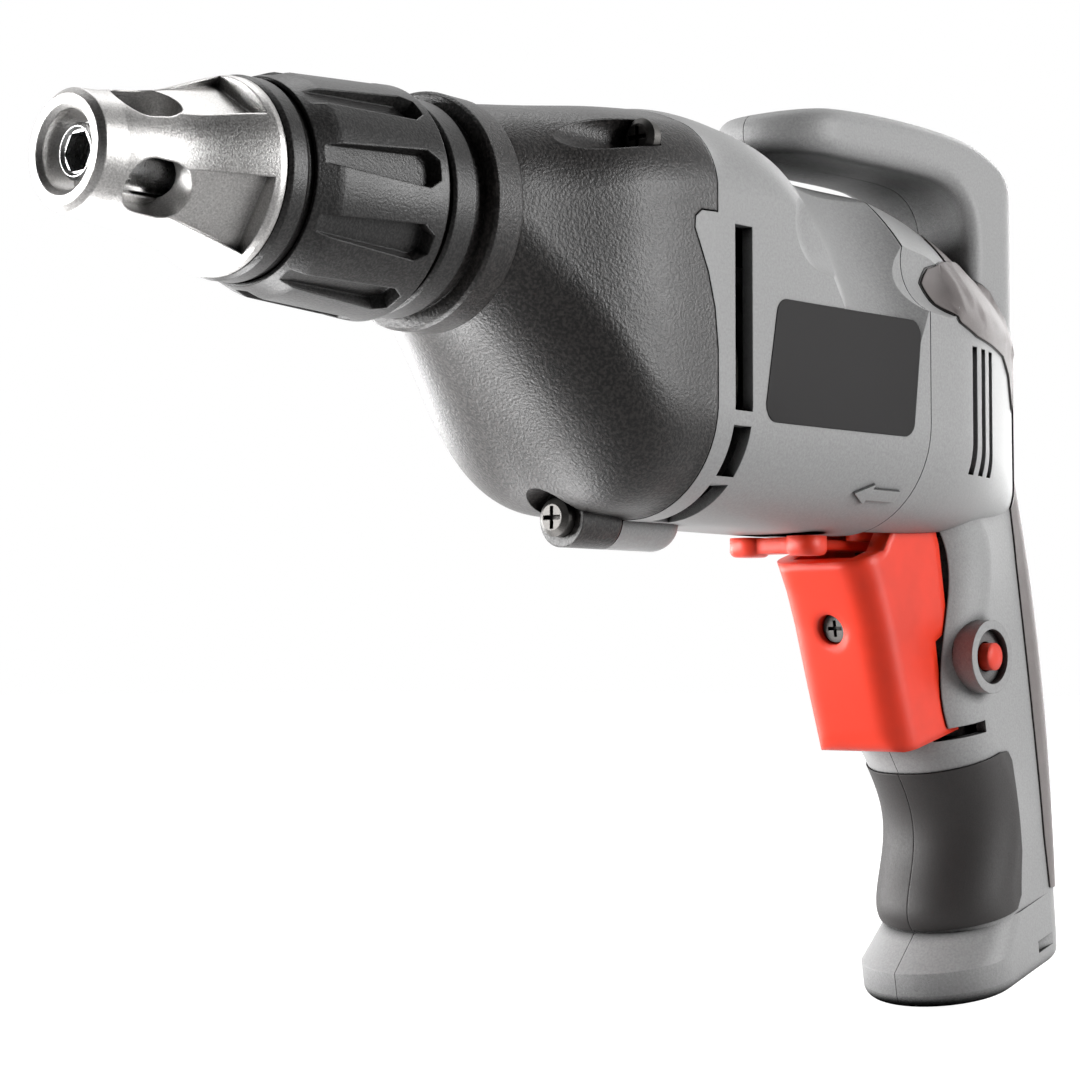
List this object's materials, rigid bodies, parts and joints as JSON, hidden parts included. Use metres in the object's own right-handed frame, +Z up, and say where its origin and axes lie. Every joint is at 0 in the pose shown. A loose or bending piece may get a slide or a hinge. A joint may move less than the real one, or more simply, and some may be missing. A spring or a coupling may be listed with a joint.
{
  "type": "electric drywall screwdriver",
  "caption": "Corded pistol-grip drywall screwdriver with a fluted depth-setting sleeve, windowed metal nose, hex bit spindle, red trigger, reversing lever and a top hanging loop.",
  "frame": {"origin": "on the spindle axis, at the mouth of the hex bit socket", "axes": "+X along the spindle from the nose to the rear of the handle, +Y to the tool's right, +Z up"},
  "size_m": [0.2984, 0.0641, 0.2051],
  "materials": {
    "satin_steel": "satin bead-blasted",
    "machined_steel": "machined",
    "dark_steel": "black oxide",
    "bright_steel": "zinc plated",
    "black_plastic": "grained",
    "grey_plastic": "fine textured",
    "grip_rubber": "soft touch",
    "red_plastic": "semi gloss",
    "label_black": "satin",
    "magnet": "nickel plated",
    "bronze": "sintered",
    "cast_alloy": "as cast",
    "lamination": "stacked sheet",
    "copper": "enamelled wire",
    "carbon": "pressed carbon",
    "nylon_white": "moulded"
  },
  "bodies": {
    "housing": {"sleeve_stop_ring": "black_plastic", "sleeve_friction_ring": "grip_rubber", "spindle_bushes": "bronze", "clutch_spring": "bright_steel", "gear_bearing": "bright_steel", "gear_housing": "black_plastic", "bearing_plate": "cast_alloy", "gear_housing_screws": "dark_steel", "front_motor_bearing": "bright_steel", "rear_motor_bearing": "bright_steel", "fan_baffle": "black_plastic", "stator_core": "lamination", "field_coils": "copper", "brush_holders": "bronze", "carbon_brushes": "carbon", "motor_housing": "grey_plastic", "nameplate_left": "label_black", "handle_left": "grey_plastic", "handle_right": "grey_plastic", "rear_grip_left": "grip_rubber", "rear_grip_right": "grip_rubber", "front_grip_left": "grip_rubber", "front_grip_right": "grip_rubber", "handle_screws": "dark_steel", "switch_body": "black_plastic", "reversing_pivot": "machined_steel", "cord_inlet_bush": "grip_rubber"},
    "sleeve": {"depth_sleeve": "black_plastic"},
    "carrier": {"locator_carrier": "black_plastic"},
    "nose": {"nose_locator": "satin_steel"},
    "spindle_slide": {"thrust_washer": "machined_steel"},
    "spindle": {"spindle": "machined_steel", "bit_holder": "machined_steel", "bit_retaining_ring": "bright_steel", "bit_magnet": "magnet"},
    "gear": {"drive_gear": "machined_steel"},
    "armature": {"armature_shaft": "machined_steel", "rotor_core": "lamination", "rotor_windings": "copper", "commutator": "copper", "cooling_fan": "nylon_white"},
    "trigger": {"trigger": "red_plastic", "trigger_screw": "bright_steel", "switch_plunger": "nylon_white"},
    "reverser": {"reversing_lever": "red_plastic"},
    "lock": {"lock_button": "red_plastic"}
  },
  "joints": [
    {"name": "sleeve_turn", "type": "hinge", "parent": "housing", "child": "sleeve", "pos_m": [0.05, 0, 0], "axis": [1, 0, 0], "range_deg": [0, 360]},
    {"name": "nose_depth", "type": "slide", "parent": "housing", "child": "carrier", "axis": [-1, 0, 0], "range_m": [0, 0.004]},
    {"name": "nose_pull_off", "type": "slide", "parent": "carrier", "child": "nose", "axis": [-1, 0, 0], "range_m": [0, 0.04]},
    {"name": "spindle_push", "type": "slide", "parent": "housing", "child": "spindle_slide", "axis": [1, 0, 0], "range_m": [0, 0.003], "stiffness_N_per_m": 2000, "springref_m": -0.004, "deforming": ["clutch_spring"]},
    {"name": "spindle_spin", "type": "hinge", "parent": "spindle_slide", "child": "spindle", "pos_m": [0.06, 0, 0], "axis": [1, 0, 0], "continuous": true},
    {"name": "armature_spin", "type": "hinge", "parent": "housing", "child": "armature", "pos_m": [0.16, 0, -0.028], "axis": [1, 0, 0], "continuous": true},
    {"name": "gear_spin", "type": "hinge", "parent": "housing", "child": "gear", "pos_m": [0.12, 0, 0], "axis": [1, 0, 0], "continuous": true},
    {"name": "trigger_pull", "type": "slide", "parent": "housing", "child": "trigger", "axis": [0.9848, 0, 0.1736], "range_m": [0, 0.006], "stiffness_N_per_m": 1500, "springref_m": -0.003},
    {"name": "reversing_swing", "type": "hinge", "parent": "housing", "child": "reverser", "pos_m": [0.228, 0, -0.06], "axis": [0, 0, 1], "range_deg": [-8, 8]},
    {"name": "lock_press", "type": "slide", "parent": "housing", "child": "lock", "axis": [0, 1, 0], "range_m": [0, 0.0025], "stiffness_N_per_m": 800, "springref_m": -0.002}
  ],
  "couplings": [
    {"joint": "nose_depth", "follows": "sleeve_turn", "m_per_rad": 0.00063662},
    {"joint": "gear_spin", "follows": "armature_spin", "ratio": -0.27273}
  ]
}
